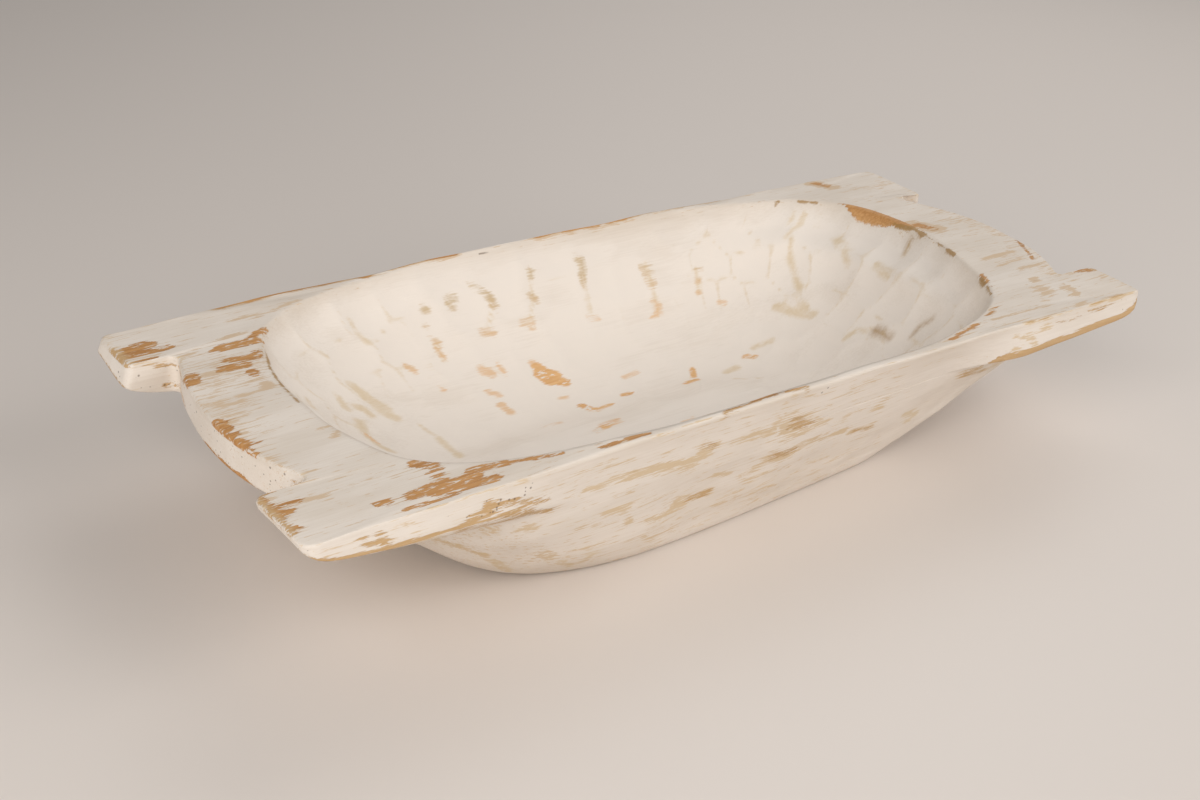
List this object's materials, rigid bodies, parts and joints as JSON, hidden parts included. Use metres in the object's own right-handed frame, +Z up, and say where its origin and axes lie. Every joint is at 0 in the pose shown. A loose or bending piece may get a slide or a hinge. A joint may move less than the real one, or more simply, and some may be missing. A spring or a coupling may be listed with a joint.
{
  "type": "dough bowl",
  "caption": "Long carved wooden dough bowl with a deep rounded hollow, flat base, and end flanges cut into ears and a rounded lobe, in rubbed white paint.",
  "frame": {"origin": "on the surface that the bowl stands on, under the middle of the bowl", "axes": "+X along the bowl from end to end, +Y across it, +Z up out of the hollow"},
  "size_m": [0.68, 0.2863, 0.114],
  "materials": {
    "painted_wood": "matt white paint brushed on bare carved wood and rubbed through to the wood along edges and tool marks"
  },
  "bodies": {
    "root": {"carved_bowl": "painted_wood"}
  },
  "joints": []
}
